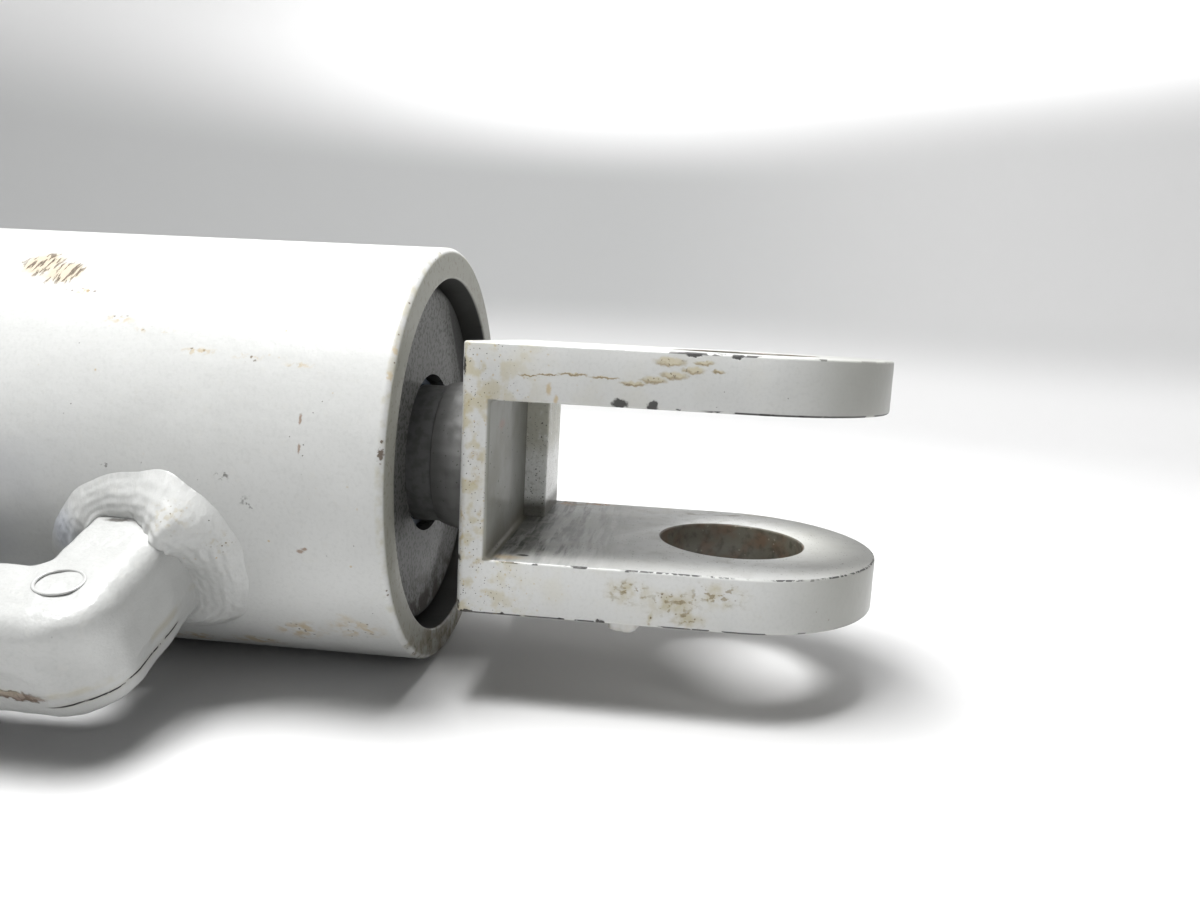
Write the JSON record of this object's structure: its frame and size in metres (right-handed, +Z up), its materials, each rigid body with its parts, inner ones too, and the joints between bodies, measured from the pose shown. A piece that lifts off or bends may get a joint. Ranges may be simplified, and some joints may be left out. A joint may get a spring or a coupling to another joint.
{
  "type": "hydraulic cylinder",
  "caption": "Double-acting hydraulic cylinder: round barrel, sliding and turning rod, a slotted yoke with a cross pin bore at each end and two elbow ports along the barrel.",
  "frame": {"origin": "middle of the base clevis's pin bore, on the barrel's axis", "axes": "+X along the rod from the base clevis to the rod clevis, +Z up along both pin bores, the ports on the -Y side"},
  "size_m": [0.5104, 0.118, 0.0888],
  "materials": {
    "grey_paint": "glossy light grey enamel, chipped and stained",
    "painted_weld": "rippled weld under light grey enamel",
    "chromed_steel": "hard chrome, painted over at the clevis end",
    "bare_steel": "oiled machined steel",
    "ductile_iron": "oiled machined iron",
    "nitrile_rubber": "satin",
    "polyurethane": "satin",
    "filled_nylon": "matt"
  },
  "bodies": {
    "barrel": {"barrel_tube": "grey_paint", "base_cap": "grey_paint", "base_cap_weld": "painted_weld", "base_clevis": "grey_paint", "base_clevis_weld": "painted_weld", "gland": "grey_paint", "gland_retaining_ring": "bare_steel", "gland_o_ring": "nitrile_rubber", "gland_backup_ring": "polyurethane", "rod_wiper": "polyurethane", "rod_seal": "polyurethane", "rod_bushing": "filled_nylon", "head_port_elbow": "grey_paint", "head_port_weld": "painted_weld", "base_port_elbow": "grey_paint", "base_port_weld": "painted_weld"},
    "piston_seals": {"piston_seal": "polyurethane", "piston_seal_energizer": "nitrile_rubber", "piston_wear_ring_front": "filled_nylon", "piston_wear_ring_rear": "filled_nylon"},
    "rod": {"piston_rod": "chromed_steel", "piston": "ductile_iron", "piston_nut": "bare_steel", "piston_o_ring": "nitrile_rubber", "rod_clevis": "grey_paint", "rod_clevis_weld": "painted_weld", "rod_clevis_pad": "grey_paint", "rod_clevis_nub": "grey_paint"}
  },
  "joints": [
    {"name": "rod_slide", "type": "slide", "parent": "barrel", "child": "piston_seals", "axis": [1, 0, 0], "range_m": [0, 0.2032]},
    {"name": "rod_turn", "type": "hinge", "parent": "piston_seals", "child": "rod", "pos_m": [0.25, 0, 0], "axis": [1, 0, 0], "continuous": true}
  ]
}
